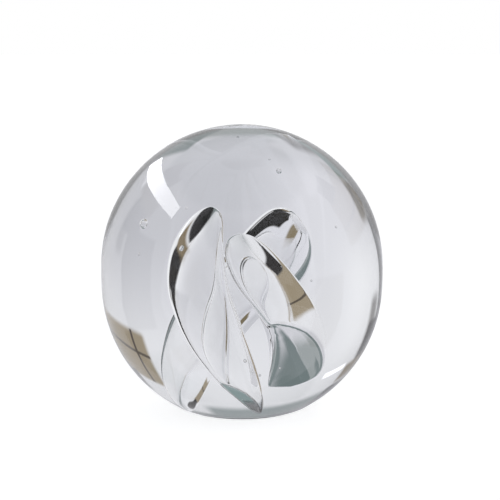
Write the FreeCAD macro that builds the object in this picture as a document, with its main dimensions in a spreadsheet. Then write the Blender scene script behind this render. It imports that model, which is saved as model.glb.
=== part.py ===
import FreeCAD, Part
import math
import os
import Sketcher

# Glass ball paperweight with three twisted air pockets, in millimetres.
# Z is up. The origin is the middle of the flat ground base, and -Y is the front.
# The first gather of glass (the core) is pressed with three long grooves. The last gather (the
# casing) closes over it and traps air in each groove. A few seed bubbles float in the casing.

V = FreeCAD.Vector

doc = FreeCAD.newDocument("paperweight")
sheet = doc.addObject("Spreadsheet::Sheet", "dimensions")


# ---------------------------------------------------------------- driving dimensions

BALL = {
    "ball_radius": 40.0,         # radius of the two round caps and of the short belt between them
    "belt_length": 4.75,         # straight belt that makes the ball slightly taller than wide
    "belt_foot": 35.6,           # height of the lower end of the belt above the base
    "base_bevel": 0.5,           # arris ground off around the base
}

CORE = {
    "core_radius": 17.5,
    "core_half_height": 26.0,
    "core_end_radius": 12.5,     # round ends of the core
    "core_middle": 29.0,         # height of the middle of the core above the base
}

GROOVE = {
    "groove_overshoot": 2.5,     # how far the pressing blade stands out of the core
    "groove_flank_power": 1.6,   # 1 gives a sharp V, 2 gives a rounded trough
}

# Each groove runs up the core from its foot to its tip and turns clockwise on the way, seen from
# above. Angles are in degrees from +X, so -90 is the front.
# turn_power over 1 turns late, under 1 turns early. foot_taper and tip_taper shape the two ends:
# a small value makes a blunt end and a large one a long point.
TWISTS = {
    "left": {
        "foot_height": 7.0,
        "tip_height": 52.5,
        "foot_angle": -62.0,
        "turn": -91.0,
        "turn_power": 0.65,
        "half_width": 10.8,
        "depth": 8.5,
        "foot_taper": 0.65,
        "tip_taper": 0.5,
    },
    "right": {
        "foot_height": 7.5,
        "tip_height": 48.6,
        "foot_angle": 2.0,
        "turn": -95.0,
        "turn_power": 1.17,
        "half_width": 11.0,
        "depth": 10.0,
        "foot_taper": 0.45,
        "tip_taper": 0.45,
    },
    "back": {
        "foot_height": 8.5,
        "tip_height": 49.5,
        "foot_angle": 152.0,
        "turn": -112.0,
        "turn_power": 1.15,
        "half_width": 10.0,
        "depth": 6.5,
        "foot_taper": 0.6,
        "tip_taper": 0.45,
    },
}

# Flats where the casing glass sagged across the lower end of a groove: the direction each one
# faces, how far it tilts down, and how far it lies from the middle of the base, along that line.
FLATS = {
    "left": {"flat_facing": -112.0, "flat_tilt": 45.0, "flat_offset": -0.6},
    "right": {"flat_facing": -62.0, "flat_tilt": 47.0, "flat_offset": -9.3},
}

# Seed bubbles: place to the right of the axis, behind it and above the base, then diameter.
SEEDS = {
    "seed_bubble_upper": (8.0, -6.0, 62.0, 1.5),
    "seed_bubble_left": (-20.5, -4.0, 49.7, 2.2),
    "seed_bubble_far_left": (-22.6, -10.0, 44.5, 0.7),
    "seed_bubble_far_right": (19.9, -6.0, 49.5, 0.6),
    "seed_bubble_right": (16.1, -22.0, 40.3, 0.6),
    "seed_bubble_front_upper": (0.7, -22.0, 21.0, 1.0),
    "seed_bubble_front_middle": (2.4, -20.5, 18.2, 0.7),
    "seed_bubble_front_lower": (4.1, -19.5, 17.3, 0.7),
    "seed_bubble_front_right": (8.8, -21.0, 18.9, 0.6),
    "seed_bubble_shoulder": (-12.3, -12.0, 55.1, 0.7),
    "seed_bubble_crown": (-0.9, 0.0, 69.0, 0.6),
    "seed_bubble_crown_right": (5.9, -4.0, 64.2, 0.6),
}

row = 0


def write_cell(alias, value):
    """Put one plain number in the sheet under its own name."""
    global row
    row += 1
    sheet.set("A%d" % row, alias)
    sheet.set("B%d" % row, str(value))
    sheet.setAlias("B%d" % row, alias)


for alias, value in list(BALL.items()) + list(CORE.items()) + list(GROOVE.items()):
    write_cell(alias, value)
for side, values in TWISTS.items():
    for name, value in values.items():
        write_cell(side + "_" + name, value)
for side, values in FLATS.items():
    for name, value in values.items():
        write_cell(side + "_" + name, value)
for name, (right, behind, up, across) in SEEDS.items():
    write_cell(name + "_right", right)
    write_cell(name + "_behind", behind)
    write_cell(name + "_up", up)
    write_cell(name + "_diameter", across)
doc.recompute()


def dim(alias):
    """A driving dimension, as a number."""
    return float(sheet.get(alias))


def cell(alias):
    """A driving dimension, for use in an expression."""
    return "dimensions." + alias


# ---------------------------------------------------------------- turned bodies

def upright_sketch(body, name):
    """A sketch on the body's own XZ plane, with its vertical axis up the ball's axis."""
    sketch = body.newObject("Sketcher::SketchObject", name)
    plane = [item for item in body.Origin.OriginFeatures if item.Role == "XZ_Plane"][0]
    sketch.AttachmentSupport = [(plane, "")]
    sketch.MapMode = "FlatFace"
    return sketch


def turn_sketch(body, sketch, name):
    """Turn a half profile fully around the vertical axis."""
    sketch.Visibility = False
    turned = body.newObject("PartDesign::Revolution", name)
    turned.Profile = sketch
    turned.ReferenceAxis = (sketch, ["V_Axis"])
    turned.Angle = 360.0
    body.Tip = turned
    doc.recompute()
    return turned


def name_constraint(sketch, constraint, name, expression):
    """Add a driving constraint and bind it to the sheet."""
    index = sketch.addConstraint(constraint)
    sketch.renameConstraint(index, name)
    sketch.setExpression("Constraints." + name, expression)


def make_ball():
    """The outside of the paperweight: two round caps, a short belt and a flat base."""
    radius = dim("ball_radius")
    foot = dim("belt_foot")
    head = foot + dim("belt_length")
    base = math.sqrt(radius ** 2 - foot ** 2)

    body = doc.addObject("PartDesign::Body", "ball_body")
    sketch = upright_sketch(body, "ball_profile")
    lower_start = math.atan2(-foot, base)
    base_line = sketch.addGeometry(Part.LineSegment(V(0, 0, 0), V(base, 0, 0)), False)
    lower = sketch.addGeometry(
        Part.ArcOfCircle(Part.Circle(V(0, foot, 0), V(0, 0, 1), radius), lower_start, 0), False)
    belt = sketch.addGeometry(Part.LineSegment(V(radius, foot, 0), V(radius, head, 0)), False)
    upper = sketch.addGeometry(
        Part.ArcOfCircle(Part.Circle(V(0, head, 0), V(0, 0, 1), radius), 0, math.pi / 2), False)
    axis = sketch.addGeometry(Part.LineSegment(V(0, head + radius, 0), V(0, 0, 0)), False)

    add = sketch.addConstraint
    join = Sketcher.Constraint
    add(join("Coincident", base_line, 1, -1, 1))
    add(join("PointOnObject", base_line, 2, -1))
    add(join("Coincident", lower, 1, base_line, 2))
    add(join("Coincident", lower, 2, belt, 1))
    add(join("PointOnObject", lower, 3, -2))
    add(join("Vertical", belt))
    add(join("Coincident", belt, 2, upper, 1))
    add(join("PointOnObject", upper, 3, -2))
    add(join("Horizontal", lower, 3, lower, 2))
    add(join("Horizontal", upper, 3, upper, 1))
    add(join("Coincident", upper, 2, axis, 1))
    add(join("PointOnObject", axis, 1, -2))
    add(join("Coincident", axis, 2, -1, 1))
    name_constraint(sketch, join("Radius", lower, radius), "cap_radius", cell("ball_radius"))
    name_constraint(sketch, join("DistanceY", belt, 1, belt, 2, head - foot), "belt",
                    cell("belt_length"))
    name_constraint(sketch, join("DistanceY", -1, 1, belt, 1, foot), "foot", cell("belt_foot"))
    doc.recompute()
    turned = turn_sketch(body, sketch, "ball_turned")

    rim = [
        "Edge%d" % (index + 1)
        for index, edge in enumerate(turned.Shape.Edges)
        if edge.BoundBox.ZMax < 0.01 and edge.BoundBox.XMax > 1.0 and edge.BoundBox.YMax > 1.0
    ]
    bevel = body.newObject("PartDesign::Chamfer", "base_bevel")
    bevel.Base = (turned, rim)
    bevel.Size = dim("base_bevel")
    bevel.setExpression("Size", cell("base_bevel"))
    body.Tip = bevel
    turned.Visibility = False
    doc.recompute()
    return body


def make_core_blank():
    """The first gather before it is pressed: an egg of glass, taller than wide."""
    radius = dim("core_radius")
    end = dim("core_end_radius")
    middle = dim("core_middle")
    apart = dim("core_half_height") - end
    side = (apart ** 2 + radius ** 2 - end ** 2) / (2.0 * (radius - end))
    lean = math.atan2(apart, side - radius)

    body = doc.addObject("PartDesign::Body", "core_blank")
    sketch = upright_sketch(body, "core_profile")
    arcs = [
        (V(0, middle - apart, 0), end, -math.pi / 2, -lean),
        (V(radius - side, middle, 0), side, -lean, 0.0),
        (V(radius - side, middle, 0), side, 0.0, lean),
        (V(0, middle + apart, 0), end, lean, math.pi / 2),
    ]
    foot, lower, upper, crown = [
        sketch.addGeometry(Part.ArcOfCircle(Part.Circle(centre, V(0, 0, 1), size), start, stop), False)
        for centre, size, start, stop in arcs
    ]
    axis = sketch.addGeometry(
        Part.LineSegment(V(0, middle + apart + end, 0), V(0, middle - apart - end, 0)), False)

    add = sketch.addConstraint
    join = Sketcher.Constraint
    add(join("Tangent", foot, 2, lower, 1))
    add(join("Tangent", lower, 2, upper, 1))
    add(join("Tangent", upper, 2, crown, 1))
    add(join("Coincident", crown, 2, axis, 1))
    add(join("Coincident", axis, 2, foot, 1))
    add(join("PointOnObject", foot, 3, -2))
    add(join("PointOnObject", crown, 3, -2))
    add(join("PointOnObject", axis, 1, -2))
    add(join("PointOnObject", axis, 2, -2))
    add(join("Coincident", lower, 3, upper, 3))
    add(join("Horizontal", lower, 3, lower, 2))
    add(join("Equal", foot, crown))
    name_constraint(sketch, join("Radius", foot, end), "end_radius", cell("core_end_radius"))
    name_constraint(sketch, join("DistanceX", -1, 1, lower, 2, radius), "wide",
                    cell("core_radius"))
    name_constraint(sketch, join("DistanceY", axis, 2, axis, 1, 2 * (apart + end)), "tall",
                    cell("core_half_height") + " * 2")
    name_constraint(sketch, join("DistanceY", -1, 1, lower, 2, middle), "middle",
                    cell("core_middle"))
    doc.recompute()
    turn_sketch(body, sketch, "core_turned")
    return body


# ---------------------------------------------------------------- grooves

SECTIONS = 11                    # cross-sections from the foot of a groove to its tip
FLANK_POINTS = 9                 # points across each cross-section


def core_radius_at(height):
    """Radius of the unpressed core at a height above the base, taken as an ellipse."""
    rise = (height - dim("core_middle")) / dim("core_half_height")
    return dim("core_radius") * math.sqrt(max(0.0, 1.0 - rise ** 2))


def taper(share, foot_taper, tip_taper):
    """0 at the foot and the tip of a groove, 1 where it is deepest."""
    peak = foot_taper / (foot_taper + tip_taper)
    top = peak ** foot_taper * (1.0 - peak) ** tip_taper
    return share ** foot_taper * (1.0 - share) ** tip_taper / top


def blade_section(side, share):
    """Closed outline of the pressing blade where it has gone this share of its way up."""
    foot = dim(side + "_foot_height")
    height = foot + (dim(side + "_tip_height") - foot) * share
    angle = dim(side + "_foot_angle") + dim(side + "_turn") * share ** dim(side + "_turn_power")
    swell = taper(share, dim(side + "_foot_taper"), dim(side + "_tip_taper"))
    overshoot = dim("groove_overshoot")
    full = dim(side + "_depth") + overshoot
    bottom = core_radius_at(height) + 0.3 - (dim(side + "_depth") + 0.3) * swell
    reach = dim(side + "_half_width") * (0.35 + 0.65 * swell)
    out = V(math.cos(math.radians(angle)), math.sin(math.radians(angle)), 0)
    across = V(-out.y, out.x, 0)

    points = []
    for index in range(FLANK_POINTS):
        part = 2.0 * index / (FLANK_POINTS - 1) - 1.0
        rise = full * abs(part) ** dim("groove_flank_power")
        points.append(out * (bottom + rise) + across * (reach * part) + V(0, 0, height))
    flank = Part.BSplineCurve()
    flank.interpolate(points)
    return Part.Wire([flank.toShape(), Part.makeLine(points[-1], points[0])])


def make_blade(side):
    """The shape that presses one groove: the blade's cross-sections lofted up its turning path."""
    wires = [blade_section(side, index / (SECTIONS - 1.0)) for index in range(SECTIONS)]
    blade = doc.addObject("Part::Feature", "blade_" + side)
    blade.Shape = Part.makeLoft(wires, True, False)
    blade.Placement = FreeCAD.Placement()
    return blade


def make_flat_blade(side, blade):
    """The blade without the part beyond its flat."""
    bearing = math.radians(dim(side + "_flat_facing"))
    tilt = math.radians(dim(side + "_flat_tilt"))
    facing = V(math.cos(bearing), math.sin(bearing), 0)
    normal = facing * math.cos(tilt) - V(0, 0, math.sin(tilt))
    turn = FreeCAD.Rotation(V(0, 0, 1), normal)
    size = 4.0 * dim("core_radius")
    rim = facing * dim("core_radius")
    on_flat = rim + normal * (dim(side + "_flat_offset") - rim.dot(normal))
    beyond = doc.addObject("Part::Box", "beyond_flat_" + side)
    beyond.Length = size
    beyond.Width = size
    beyond.Height = size
    beyond.Placement = FreeCAD.Placement(on_flat - turn.multVec(V(size / 2, size / 2, 0)), turn)
    trimmed = doc.addObject("Part::Cut", "flat_blade_" + side)
    trimmed.Base = blade
    trimmed.Tool = beyond
    return trimmed


def make_air_twist(side, blank, blade):
    """The air that the casing traps in one groove."""
    air = doc.addObject("Part::Common", "air_" + side)
    air.Label = "air_twist_" + side
    air.Base = blank
    air.Tool = blade
    return air


def make_core(blank, blades):
    """The pressed core: the blank without its three grooves."""
    pressed = doc.addObject("Part::MultiFuse", "blades")
    pressed.Shapes = blades
    core = doc.addObject("Part::Cut", "core")
    core.Label = "glass_core"
    core.Base = blank
    core.Tool = pressed
    return core


# ---------------------------------------------------------------- seed bubbles and casing

def make_seed(name):
    """One small round bubble in the casing."""
    seed = doc.addObject("Part::Sphere", name)
    seed.Label = name
    seed.setExpression("Radius", cell(name + "_diameter") + " / 2")
    seed.setExpression("Placement.Base.x", cell(name + "_right"))
    seed.setExpression("Placement.Base.y", cell(name + "_behind"))
    seed.setExpression("Placement.Base.z", cell(name + "_up"))
    return seed


def make_casing(ball, blank, seeds):
    """The last gather: the ball without the room that the core and the seed bubbles take up."""
    inside = doc.addObject("Part::MultiFuse", "inside_of_casing")
    inside.Shapes = [blank] + seeds
    casing = doc.addObject("Part::Cut", "casing")
    casing.Label = "glass_casing"
    casing.Base = ball
    casing.Tool = inside
    return casing


# ---------------------------------------------------------------- assembly

ball = make_ball()
blank = make_core_blank()
blades = {side: make_blade(side) for side in TWISTS}
for side in FLATS:
    blades[side] = make_flat_blade(side, blades[side])
air_twists = [make_air_twist(side, blank, blades[side]) for side in TWISTS]
core = make_core(blank, list(blades.values()))
seeds = [make_seed(name) for name in SEEDS]
casing = make_casing(ball, blank, seeds)
doc.recompute()

for item in doc.Objects:
    if "Invalid" in item.State or "Error" in item.State:
        raise RuntimeError("%s did not compute: %s" % (item.Name, item.State))

sub_parts = [casing, core] + air_twists + seeds
os.makedirs("parts", exist_ok=True)
for item in sub_parts:
    shape = item.Shape
    if shape.isNull() or not shape.isValid() or len(shape.Solids) != 1:
        raise RuntimeError("%s is not one valid solid" % item.Label)
    shape.exportStep("parts/%s.step" % item.Label)
    print("%-26s %10.2f mm3" % (item.Label, shape.Volume))
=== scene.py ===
import math
import random

import bpy
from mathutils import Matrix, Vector, noise


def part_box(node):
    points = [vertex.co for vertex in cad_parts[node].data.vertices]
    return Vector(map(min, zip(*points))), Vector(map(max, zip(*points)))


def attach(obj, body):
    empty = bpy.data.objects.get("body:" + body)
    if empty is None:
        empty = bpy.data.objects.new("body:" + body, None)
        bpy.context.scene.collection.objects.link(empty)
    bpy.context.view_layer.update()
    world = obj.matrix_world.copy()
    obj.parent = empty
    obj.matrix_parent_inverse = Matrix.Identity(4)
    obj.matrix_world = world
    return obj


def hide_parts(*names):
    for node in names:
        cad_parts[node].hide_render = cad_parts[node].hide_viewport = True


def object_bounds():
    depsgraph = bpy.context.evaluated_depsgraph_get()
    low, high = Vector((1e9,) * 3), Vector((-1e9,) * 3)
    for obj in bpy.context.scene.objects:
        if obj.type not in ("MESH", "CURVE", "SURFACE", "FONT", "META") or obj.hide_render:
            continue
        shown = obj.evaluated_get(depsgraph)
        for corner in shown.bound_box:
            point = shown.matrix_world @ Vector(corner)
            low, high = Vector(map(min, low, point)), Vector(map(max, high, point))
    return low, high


# Clear glass ball paperweight with three twisted air pockets. Metres, Z up, -Y is the front.
# The shapes are worked out in millimetres and scaled when their mesh is made.

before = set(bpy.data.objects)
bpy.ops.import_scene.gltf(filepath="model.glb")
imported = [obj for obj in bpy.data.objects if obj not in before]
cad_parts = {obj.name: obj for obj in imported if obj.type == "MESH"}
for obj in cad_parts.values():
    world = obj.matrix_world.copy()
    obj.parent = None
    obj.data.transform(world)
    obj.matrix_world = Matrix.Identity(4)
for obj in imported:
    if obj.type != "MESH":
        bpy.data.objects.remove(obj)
cad_low, cad_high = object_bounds()
MM = 0.001


# ---------------------------------------------------------------- helpers

def node_box(name):
    low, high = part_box(name)
    return Vector(low), Vector(high)


def new_piece(name, verts, faces, material, node_names):
    """A smooth-shaded mesh piece that stands for some CAD nodes."""
    mesh = bpy.data.meshes.new(name)
    mesh.from_pydata([tuple(v) for v in verts], [], faces)
    mesh.validate()
    mesh.polygons.foreach_set("use_smooth", [True] * len(mesh.polygons))
    mesh.update()
    piece = bpy.data.objects.new(name, mesh)
    bpy.context.scene.collection.objects.link(piece)
    mesh.materials.append(material)
    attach(piece, "root")
    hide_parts(*node_names)
    return piece


def link(tree, source, target):
    tree.links.new(source, target)


# ---------------------------------------------------------------- materials

IOR = 1.5
# painted shade: colour of the absorption that greys all that is seen through the ball; the real
# glass is clear
SHADE_TINT = (0.84, 0.86, 0.90, 1.0)


def glass_material(name, density, ripple, ripple_scale, smudge):
    """Clear glass: faint ripples from the making, a roughness that varies a little, and a faint grey
    absorption that is painted shade: it greys all that is seen through the glass, which is really
    clear.

    density is the strength of the painted-shade absorption, ripple that of the bump, and smudge the
    highest roughness.
    """
    material = bpy.data.materials.new(name)
    material.use_nodes = True
    tree = material.node_tree
    shader = tree.nodes["Principled BSDF"]
    shader.inputs["Base Color"].default_value = (1.0, 1.0, 1.0, 1.0)
    shader.inputs["IOR"].default_value = IOR
    shader.inputs["Transmission Weight"].default_value = 1.0

    where = tree.nodes.new("ShaderNodeTexCoord")
    wave = tree.nodes.new("ShaderNodeTexNoise")
    wave.inputs["Scale"].default_value = ripple_scale
    wave.inputs["Detail"].default_value = 2.0
    wave.inputs["Distortion"].default_value = 0.6
    link(tree, where.outputs["Object"], wave.inputs["Vector"])
    bump = tree.nodes.new("ShaderNodeBump")
    bump.inputs["Strength"].default_value = ripple
    bump.inputs["Distance"].default_value = 0.001
    link(tree, wave.outputs["Fac"], bump.inputs["Height"])
    link(tree, bump.outputs["Normal"], shader.inputs["Normal"])

    shader.inputs["Roughness"].default_value = 0.0
    if smudge > 0:
        film = tree.nodes.new("ShaderNodeTexNoise")
        film.inputs["Scale"].default_value = 60.0
        film.inputs["Detail"].default_value = 5.0
        link(tree, where.outputs["Object"], film.inputs["Vector"])
        spread = tree.nodes.new("ShaderNodeMapRange")
        spread.inputs["From Min"].default_value = 0.45
        spread.inputs["From Max"].default_value = 0.8
        spread.inputs["To Min"].default_value = 0.0
        spread.inputs["To Max"].default_value = smudge
        link(tree, film.outputs["Fac"], spread.inputs["Value"])
        link(tree, spread.outputs["Result"], shader.inputs["Roughness"])

    # painted shade: this absorption greys everything seen through the glass, in place of the shade
    # seen through it
    if density > 0:
        shade_tint = tree.nodes.new("ShaderNodeVolumeAbsorption")
        shade_tint.inputs["Color"].default_value = SHADE_TINT
        shade_tint.inputs["Density"].default_value = density
        link(tree, shade_tint.outputs["Volume"], tree.nodes["Material Output"].inputs["Volume"])
    return material


clear_glass = glass_material("clear_glass", density=9.0, ripple=0.05, ripple_scale=25.0, smudge=0.02)
pocket_wall = glass_material("pocket_wall", density=0.0, ripple=0.03, ripple_scale=90.0, smudge=0.01)
seed_wall = glass_material("seed_wall", density=0.0, ripple=0.05, ripple_scale=300.0, smudge=0.0)


# ---------------------------------------------------------------- ball

BALL_RADIUS = cad_high[0] / MM
BALL_TOP = cad_high[2] / MM
BELT_FOOT = 35.6                 # height where a short straight belt parts the two rounded halves
BELT_LENGTH = BALL_TOP - BELT_FOOT - BALL_RADIUS
BASE_BEVEL = 0.5
AROUND = 288                     # points round the ball
LOWER_POINTS = 72
BELT_POINTS = 4
UPPER_POINTS = 100
BELT_SOFTENING = 40              # passes
BASE_POINTS = 14                 # the first points of the half profile, at the base, stay put
SWELL_FROM = 0.6                 # the ball is only swollen above this height
SWELL_MIDDLE = Vector((0, 0, 38.0))
BROAD_SWELL = 0.10
FINE_SWELL = 0.03


def ball_profile():
    """Half profile as (radius, height) from the middle of the base up to the crown."""
    base = math.sqrt(BALL_RADIUS ** 2 - BELT_FOOT ** 2)
    points = [(base * k / 10.0, 0.0) for k in range(1, 10)]
    points += [(base - BASE_BEVEL, 0.0), (base - 0.5 * BASE_BEVEL, 0.24 * BASE_BEVEL)]
    points.append((base, BASE_BEVEL))
    start = math.asin(-(BELT_FOOT - BASE_BEVEL) / BALL_RADIUS)
    for k in range(1, LOWER_POINTS + 1):
        angle = start * (1.0 - k / LOWER_POINTS)
        points.append((BALL_RADIUS * math.cos(angle), BELT_FOOT + BALL_RADIUS * math.sin(angle)))
    for k in range(1, BELT_POINTS + 1):
        points.append((BALL_RADIUS, BELT_FOOT + BELT_LENGTH * k / BELT_POINTS))
    for k in range(1, UPPER_POINTS):
        angle = 0.5 * math.pi * k / UPPER_POINTS
        points.append((BALL_RADIUS * math.cos(angle),
                       BELT_FOOT + BELT_LENGTH + BALL_RADIUS * math.sin(angle)))
    return points


def make_ball():
    """The outside of the ball, which stands for the casing and the core fused to it."""
    rings = ball_profile()
    # soften the change of curvature at the belt
    for _ in range(BELT_SOFTENING):
        softer = rings[:]
        for k in range(BASE_POINTS, len(rings) - 1):
            softer[k] = tuple(0.25 * rings[k - 1][i] + 0.5 * rings[k][i] + 0.25 * rings[k + 1][i]
                              for i in (0, 1))
        rings = softer
    verts = [Vector((0, 0, 0))]
    for radius, height in rings:
        for j in range(AROUND):
            turn = 2.0 * math.pi * j / AROUND
            verts.append(Vector((radius * math.cos(turn), radius * math.sin(turn), height)))
    verts.append(Vector((0, 0, BALL_TOP)))
    top = len(verts) - 1
    faces = []
    for j in range(AROUND):
        faces.append((0, 1 + (j + 1) % AROUND, 1 + j))
    for k in range(len(rings) - 1):
        a = 1 + k * AROUND
        b = a + AROUND
        for j in range(AROUND):
            n = (j + 1) % AROUND
            faces.append((a + j, a + n, b + n, b + j))
    last = 1 + (len(rings) - 1) * AROUND
    for j in range(AROUND):
        faces.append((last + j, last + (j + 1) % AROUND, top))
    # a hand-made ball is never quite round: swell it by a few hundredths of a millimetre
    for index, point in enumerate(verts):
        if point.z > SWELL_FROM:
            lift = BROAD_SWELL * noise.noise(point * 0.045)
            lift += FINE_SWELL * noise.noise(point * 0.11 + Vector((7, 3, 1)))
            verts[index] = point + (point - SWELL_MIDDLE).normalized() * lift
    return new_piece("glass_ball", [v * MM for v in verts], faces, clear_glass,
                     ["glass_casing", "glass_core"])


make_ball()


# ---------------------------------------------------------------- air twists

CORE_RADIUS = 17.5
CORE_HALF_HEIGHT = 26.0
CORE_MIDDLE = 29.0

# Shape of each air twist. Heights in mm, angles in degrees from +X (so -90 is the front).
# A twist runs from foot to tip and turns on the way: power over 1 turns late, under 1 turns early.
# half is half the width of the groove's mouth and depth is how far it goes in. flank 1 gives a sharp
# V and a high value a flat-bottomed trough. The wide and deep tapers give the two ends: a small
# value makes a blunt end and a large one a long point. bulge is how far the outer wall still follows
# the core, and soft is how far surface tension has rounded the two long edges. yaw swings the
# section about the middle of its mouth towards the tip, and nose draws the tip inwards. flat is the
# plane that cuts the lower end off: the direction it faces, how far it tilts up, and how far it lies
# from the middle of the base along that line.
TWISTS = {
    "left": dict(foot=7.0, tip=52.5, angle=-62.0, turn=-91.0, power=0.65,
                 half=9.3, depth=8.5, flank=1.7, bulge=0.73, soft=24,
                 foot_wide=0.75, tip_wide=0.48, foot_deep=0.5, tip_deep=0.5,
                 yaw=22.0, yaw_power=3.5, nose=0.1, flat=(-112, -45, -0.6)),
    "right": dict(foot=7.5, tip=48.6, angle=2.0, turn=-95.0, power=1.17,
                  half=9.5, depth=11.0, flank=1.7, bulge=0.7, soft=14,
                  foot_wide=0.75, tip_wide=0.45, foot_deep=0.25, tip_deep=0.5,
                  yaw=32.0, yaw_power=2.5, nose=0.14, flat=(-62, -47, -9.3)),
    "back": dict(foot=8.5, tip=49.5, angle=152.0, turn=-112.0, power=1.15,
                 half=8.8, depth=6.5, flank=3.5, bulge=0.55, soft=10,
                 foot_wide=0.6, tip_wide=0.36, foot_deep=0.8, tip_deep=0.6,
                 yaw=0.0, yaw_power=1.0, nose=0.0),
}


def core_radius_at(height):
    rise = (height - CORE_MIDDLE) / CORE_HALF_HEIGHT
    return CORE_RADIUS * math.sqrt(max(0.0, 1.0 - rise ** 2))


def taper(share, foot_taper, tip_taper):
    """0 at the foot and the tip, 1 in between."""
    peak = foot_taper / (foot_taper + tip_taper)
    top = peak ** foot_taper * (1.0 - peak) ** tip_taper
    return share ** foot_taper * (1.0 - share) ** tip_taper / top


STATIONS = 110                   # cross-sections from foot to tip
FLANK = 40                       # points across the groove
ARC = 32                         # points along the outer wall
FLAT_SOFTENING = 5               # passes
LEAST_AREA = 0.25                # square mm: a smaller cross-section is left out
NOSE_FROM = 0.8                  # share of the way up where the tip starts to be drawn in
CAP = 0.15                       # how far a twist's two end points stand out
WIDEST = 0.95                    # a mouth is never wider than this share of the core
END_SHARE = 0.0005               # the first and the last cross-section stay this far off the ends


def even(ring, count):
    """The same closed outline with its points evenly spaced along it."""
    lengths = [0.0]
    n = len(ring)
    for k in range(n):
        p, q = ring[k], ring[(k + 1) % n]
        lengths.append(lengths[-1] + math.hypot(q[0] - p[0], q[1] - p[1]))
    out, at = [], 0
    for k in range(count):
        want = lengths[-1] * k / count
        while lengths[at + 1] < want:
            at += 1
        f = (want - lengths[at]) / max(1e-9, lengths[at + 1] - lengths[at])
        p, q = ring[at], ring[(at + 1) % n]
        out.append((p[0] + (q[0] - p[0]) * f, p[1] + (q[1] - p[1]) * f))
    return out


def softened(ring, passes):
    """The same closed outline with its corners rounded."""
    n = len(ring)
    for _ in range(passes):
        ring = [tuple(0.25 * ring[k - 1][i] + 0.5 * ring[k][i] + 0.25 * ring[(k + 1) % n][i]
                      for i in (0, 1)) for k in range(n)]
    return ring


def trimmed(ring, height, angle, tilt, offset):
    """The part of a level outline behind a flat that faces angle and tilt; None if too little."""
    across = math.cos(math.radians(tilt))
    nx = across * math.cos(math.radians(angle))
    ny = across * math.sin(math.radians(angle))
    over = [nx * x + ny * y + math.sin(math.radians(tilt)) * height - offset for x, y in ring]
    out = []
    for k, (x, y) in enumerate(ring):
        n = (k + 1) % len(ring)
        if over[k] <= 0:
            out.append((x, y))
        if (over[k] <= 0) != (over[n] <= 0):
            f = over[k] / (over[k] - over[n])
            out.append((x + (ring[n][0] - x) * f, y + (ring[n][1] - y) * f))
    if len(out) < 3:
        return None
    twice = sum(out[k - 1][0] * out[k][1] - out[k][0] * out[k - 1][1] for k in range(len(out)))
    area = 0.5 * abs(twice)
    return out if area > LEAST_AREA else None


def twist_ring(twist, share):
    """One closed level cross-section of an air twist; None where its flat leaves too little."""
    height = twist["foot"] + (twist["tip"] - twist["foot"]) * share
    angle = math.radians(twist["angle"] + twist["turn"] * share ** twist["power"])
    wide = twist["half"] * taper(share, twist["foot_wide"], twist["tip_wide"])
    deep = twist["depth"] * taper(share, twist["foot_deep"], twist["tip_deep"])
    near_tip = max(0.0, (share - NOSE_FROM) / (1.0 - NOSE_FROM))
    radius = core_radius_at(height) * (1.0 - twist["nose"] * near_tip ** 2)
    half_turn = math.asin(min(WIDEST, wide / radius))
    mouth = radius * math.cos(half_turn)
    side = radius * math.sin(half_turn)
    ring = []
    for k in range(FLANK):
        part = -1.0 + 2.0 * k / FLANK
        push = 1.0 - abs(part) ** twist["flank"]
        ring.append((mouth - max(0.0, deep - (radius - mouth)) * push, side * part))
    for k in range(ARC):
        at = half_turn * (1.0 - 2.0 * k / ARC)
        outer = mouth + (radius * math.cos(at) - mouth) * twist["bulge"]
        ring.append((outer, radius * math.sin(at)))
    ring = even(ring, FLANK + ARC)
    n = len(ring)
    ring = softened(ring, twist["soft"])
    # turn the section about the middle of its mouth, then put it in its place round the core
    yaw = math.radians(twist["yaw"] * share ** twist["yaw_power"])
    c, s = math.cos(yaw), math.sin(yaw)
    ring = [(mouth + (out - mouth) * c - side * s, (out - mouth) * s + side * c)
            for out, side in ring]
    c, s = math.cos(angle), math.sin(angle)
    ring = [(out * c - side * s, out * s + side * c) for out, side in ring]
    if "flat" in twist:
        ring = trimmed(ring, height, *twist["flat"])
        if not ring:
            return None
        ring = softened(even(ring, n), FLAT_SOFTENING)
        # start from the same side all the way up
        first = max(range(n), key=lambda k: ring[k][0] * s - ring[k][1] * c)
        ring = ring[first:] + ring[:first]
    return [Vector((x, y, height)) for x, y in ring]


def make_twist(name, twist):
    """The wall of one air twist."""
    rings = []
    for k in range(STATIONS + 1):
        # closer together at the two ends
        share = 0.5 - (0.5 - END_SHARE) * math.cos(math.pi * k / STATIONS)
        rings.append(twist_ring(twist, share))
    rings = [ring for ring in rings if ring]
    n = len(rings[0])
    first = sum(rings[0], Vector()) / n - Vector((0, 0, CAP))
    last = sum(rings[-1], Vector()) / n + Vector((0, 0, CAP))
    verts = [first] + [p for ring in rings for p in ring] + [last]
    faces = []
    # faces look into the air, because this wall belongs to the glass around the pocket
    for j in range(n):
        faces.append((0, 1 + (j + 1) % n, 1 + j))
    for k in range(len(rings) - 1):
        a = 1 + k * n
        b = a + n
        for j in range(n):
            m = (j + 1) % n
            faces.append((a + j, a + m, b + m, b + j))
    tail = 1 + (len(rings) - 1) * n
    for j in range(n):
        faces.append((tail + j, tail + (j + 1) % n, len(verts) - 1))
    return new_piece(name, [v * MM for v in verts], faces, pocket_wall, [name])


for side, twist in TWISTS.items():
    make_twist("air_twist_" + side, twist)


# ---------------------------------------------------------------- seed bubbles

SEED_RINGS = 12
SEED_AROUND = 20
SEED_STRETCH = 0.25              # how much taller than wide a seed bubble may be


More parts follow.
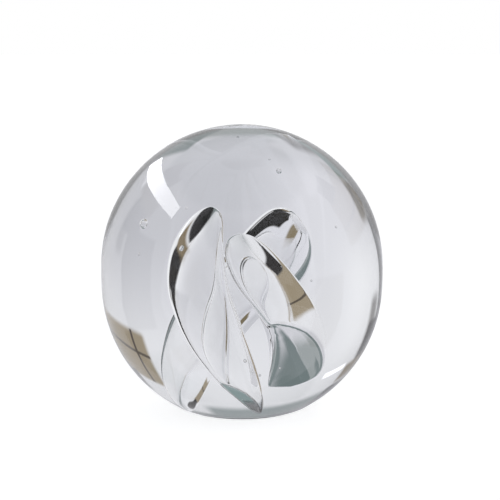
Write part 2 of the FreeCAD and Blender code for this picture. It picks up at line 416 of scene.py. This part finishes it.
def make_seed(name):
    """One small bubble in its CAD node's place, drawn out a little in height."""
    low, high = node_box(name)
    middle = (low + high) / 2
    radius = (high.x - low.x) / 2
    random.seed(name)
    rings, around = SEED_RINGS, SEED_AROUND
    stretch = 1.0 + SEED_STRETCH * random.random()
    verts, faces = [], []
    for k in range(rings + 1):
        tilt = math.pi * k / rings
        for j in range(around):
            turn = 2 * math.pi * j / around
            verts.append(middle + radius * Vector((math.sin(tilt) * math.cos(turn) / stretch,
                                                   math.sin(tilt) * math.sin(turn) / stretch,
                                                   math.cos(tilt))))
    for k in range(rings):
        for j in range(around):
            m = (j + 1) % around
            a = k * around
            b = a + around
            faces.append((a + j, a + m, b + m, b + j))
    return new_piece(name, verts, faces, seed_wall, [name])


for name in sorted(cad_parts):
    if name.startswith("seed_bubble"):
        make_seed(name)


# ---------------------------------------------------------------- floor, surroundings, lights

def staged(name, verts, faces, material, camera, glass):
    """A stage mesh, seen by the camera directly, or only in and through the glass."""
    mesh = bpy.data.meshes.new(name)
    mesh.from_pydata(verts, [], faces)
    mesh.materials.append(material)
    thing = bpy.data.objects.new(name, mesh)
    bpy.context.scene.collection.objects.link(thing)
    thing.visible_camera = camera
    thing.visible_glossy = glass
    thing.visible_transmission = glass
    thing.visible_diffuse = False
    thing.visible_shadow = False
    return thing


FLOOR_HALF = 6.0
FLOOR_DROP = 0.0004              # the floor lies this far under the base
BACKDROP_RADIUS = 5.5
BACKDROP_FOOT = -0.5
BACKDROP_TOP = 6.0
BACKDROP_SIDES = 48
FLOOR_GLOW = 0.72


def glow_material(name, color, strength):
    """A surface that shines evenly."""
    material = bpy.data.materials.new(name)
    material.use_nodes = True
    tree = material.node_tree
    tree.nodes.remove(tree.nodes["Principled BSDF"])
    glow = tree.nodes.new("ShaderNodeEmission")
    glow.inputs["Color"].default_value = (*color, 1)
    glow.inputs["Strength"].default_value = strength
    link(tree, glow.outputs["Emission"], tree.nodes["Material Output"].inputs["Surface"])
    return material


def make_floor():
    """The pale floor that the camera sees: mostly its own white, with a faint soft shadow."""
    material = bpy.data.materials.new("floor")
    material.use_nodes = True
    shader = material.node_tree.nodes["Principled BSDF"]
    shader.inputs["Base Color"].default_value = (0.80, 0.80, 0.81, 1)
    shader.inputs["Roughness"].default_value = 0.9
    shader.inputs["Specular IOR Level"].default_value = 0.0
    shader.inputs["Emission Color"].default_value = (1.0, 1.0, 1.0, 1)
    shader.inputs["Emission Strength"].default_value = FLOOR_GLOW
    corners = [(x * FLOOR_HALF, y * FLOOR_HALF, -FLOOR_DROP)
               for x, y in ((-1, -1), (1, -1), (1, 1), (-1, 1))]
    staged("floor", corners, [(0, 1, 2, 3)], material, True, False)


def make_backdrop():
    """A plain white wall all round, beyond the floor."""
    material = glow_material("backdrop", (1.0, 1.0, 1.0), 1.0)
    verts, faces = [], []
    for k in range(BACKDROP_SIDES):
        turn = 2 * math.pi * k / BACKDROP_SIDES
        x = BACKDROP_RADIUS * math.cos(turn)
        y = BACKDROP_RADIUS * math.sin(turn)
        verts.append((x, y, BACKDROP_FOOT))
        verts.append((x, y, BACKDROP_TOP))
    for k in range(BACKDROP_SIDES):
        a, b = 2 * k, 2 * ((k + 1) % BACKDROP_SIDES)
        faces.append((a, b, b + 1, a + 1))
    staged("backdrop", verts, faces, material, True, False)


make_floor()
make_backdrop()


# The room, as the glass shows it: colours by direction, in degrees. Angles run from +X towards +Y,
# and heights from the horizon. Each patch: its name, the angle of its middle and its half width, the
# height of its middle and its half height, how soft its edge is, and its colour.
ROOM_HIGH = (0.86, 0.86, 0.875)
ROOM_LOW = (0.80, 0.795, 0.83)
HIGH_FROM = 20.0                 # all ROOM_HIGH above this height
LOW_UNDER = -40.0                # all ROOM_LOW under this one
PATCHES = [
    ("front_dark", -90, 48, 12, 34, 22, (0.18, 0.18, 0.18)),
    ("desk_behind_right", 58, 40, -32, 26, 34, (0.62, 0.62, 0.65)),
    # painted shadow: the table right behind the ball, darker grey as if in the ball's shadow
    ("desk_behind", 90, 60, -52, 10, 14, (0.66, 0.66, 0.69)),
    ("wall_left_light", 142, 20, 2, 18, 22, (0.98, 0.98, 0.99)),
    ("ceiling", 0, 400, 90, 38, 8, (0.20, 0.23, 0.23)),
    ("ceiling_behind", 105, 32, 52, 12, 7, (0.27, 0.31, 0.31)),
    # painted shadow: the ball's own shadow on the table straight under it, dark teal
    ("under", 90, 110, -90, 27, 8, (0.34, 0.37, 0.37)),
    # painted shadow: the ball's shadow on the table, seen low down to the right
    ("ball_shadow_right", 28, 29, -64, 12, 5, (0.17, 0.21, 0.21)),
    ("behind_left_low", 150, 28, -62, 9, 8, (0.22, 0.22, 0.23)),
    # painted shadow: the ball's shadow on the table, seen low down to the left
    ("ball_shadow_left", 163, 18, -54, 13, 5, (0.24, 0.31, 0.31)),
    ("left_low_grey", 157, 12, -33, 8, 5, (0.34, 0.33, 0.32)),
    ("left_rim_dark", 149, 5, 12, 12, 6, (0.26, 0.25, 0.24)),
    ("left_dark", 175, 18, -5, 22, 3, (0.010, 0.009, 0.008)),
    ("left_dark_high", 158, 12, 19, 9, 3, (0.005, 0.004, 0.004)),
    ("left_brown", 156, 18, 31, 5, 4, (0.22, 0.17, 0.10)),
    ("left_top_dark", 150, 14, 46, 8, 3, (0.005, 0.004, 0.004)),
    ("left_floor_brown", 209, 12, -50, 10, 5, (0.26, 0.21, 0.13)),
    ("lamp_behind_left", 129, 7, 25.5, 1.3, 1.5, (1.7, 1.7, 1.75)),
    ("front_right_brown", 344, 14, -22, 18, 3, (0.20, 0.16, 0.09)),
    ("cupboard_right", 34, 23, 20, 12, 3, (0.36, 0.30, 0.21)),
    ("cupboard_top", 24, 11, 37, 6, 2, (0.015, 0.012, 0.010)),
    ("cupboard_edge", 49, 0.8, 20, 12, 0.8, (0.08, 0.06, 0.05)),
    ("cupboard_shelf", 34, 23, 17, 0.7, 0.8, (0.10, 0.08, 0.06)),
]


def room(world):
    """Paint the patches over the room's plain colour, one on top of the other."""
    world.use_nodes = True
    tree = world.node_tree
    background = tree.nodes["Background"]

    def maths(operation, *values):
        node = tree.nodes.new("ShaderNodeMath")
        node.operation = operation
        for index, value in enumerate(values):
            if isinstance(value, (int, float)):
                node.inputs[index].default_value = value
            else:
                link(tree, value, node.inputs[index])
        return node.outputs[0]

    def smooth(value, full, none):
        node = tree.nodes.new("ShaderNodeMapRange")
        node.interpolation_type = "SMOOTHSTEP"
        node.inputs["From Min"].default_value = none
        node.inputs["From Max"].default_value = full
        link(tree, value, node.inputs["Value"])
        return node.outputs["Result"]

    def mixed(share, first, second):
        node = tree.nodes.new("ShaderNodeMix")
        node.data_type = "RGBA"
        link(tree, share, node.inputs["Factor"])
        for socket, value in ((node.inputs["A"], first), (node.inputs["B"], second)):
            if isinstance(value, tuple):
                socket.default_value = (*value, 1.0)
            else:
                link(tree, value, socket)
        return node.outputs["Result"]

    where = tree.nodes.new("ShaderNodeTexCoord")
    split = tree.nodes.new("ShaderNodeSeparateXYZ")
    link(tree, where.outputs["Generated"], split.inputs["Vector"])
    turn = maths("DEGREES", maths("ARCTAN2", split.outputs["Y"], split.outputs["X"]))
    height = maths("DEGREES", maths("ARCSINE", split.outputs["Z"]))
    colour = mixed(smooth(height, HIGH_FROM, LOW_UNDER), ROOM_LOW, ROOM_HIGH)
    for _, angle, half_width, up, half_height, soft, tint in PATCHES:
        off = maths("ABSOLUTE", maths("WRAP", maths("SUBTRACT", turn, angle), 180.0, -180.0))
        over = maths("ABSOLUTE", maths("SUBTRACT", height, up))
        share = maths("MULTIPLY", smooth(off, half_width - soft / 2, half_width + soft / 2),
                      smooth(over, half_height - soft / 2, half_height + soft / 2))
        colour = mixed(share, colour, tint)
    link(tree, colour, background.inputs["Color"])
    background.inputs["Strength"].default_value = 1.0


world = bpy.data.worlds.new("studio")
bpy.context.scene.world = world
room(world)


WINDOW_WALL = -1.0
WINDOW_FRONT = -0.34
WINDOW_BACK = 2.0
WINDOW_SILL = 0.78
WINDOW_HEAD = 1.07
WINDOW_STRENGTH = 7.0


def make_window():
    """A long window in a wall to the left, which the front of the ball mirrors."""
    material = glow_material("window", (1.0, 1.0, 1.02), WINDOW_STRENGTH)
    corners = [(WINDOW_WALL, WINDOW_BACK, WINDOW_SILL), (WINDOW_WALL, WINDOW_FRONT, WINDOW_SILL),
               (WINDOW_WALL, WINDOW_FRONT, WINDOW_HEAD), (WINDOW_WALL, WINDOW_BACK, WINDOW_HEAD)]
    pane = staged("window", corners, [(0, 1, 2, 3)], material, False, True)
    pane.visible_transmission = False


make_window()


# ---------------------------------------------------------------- camera

ELEVATION = math.radians(10.0)
LENS = 100.0
SENSOR = 36.0
DISTANCE = 0.396
MIDDLE_HEIGHT = 0.03798
AIM_RIGHT = 0.00228              # the camera aims this far to the right of the ball's middle
AIM_UP = 0.00656                 # and this far above it

camera_data = bpy.data.cameras.new("camera")
camera_data.lens = LENS
camera_data.sensor_width = SENSOR
camera = bpy.data.objects.new("camera", camera_data)
bpy.context.scene.collection.objects.link(camera)
middle = Vector((0, 0, MIDDLE_HEIGHT))
forward = Vector((0, math.cos(ELEVATION), -math.sin(ELEVATION)))
camera.location = middle - forward * DISTANCE
up = Vector((0, math.sin(ELEVATION), math.cos(ELEVATION)))
aim = forward * DISTANCE + Vector((AIM_RIGHT, 0, 0)) + up * AIM_UP
camera.rotation_euler = aim.to_track_quat("-Z", "Y").to_euler()
bpy.context.scene.camera = camera

bpy.context.scene.view_settings.view_transform = "Standard"
bpy.context.scene.cycles.transmission_bounces = 32
bpy.context.scene.cycles.max_bounces = 48
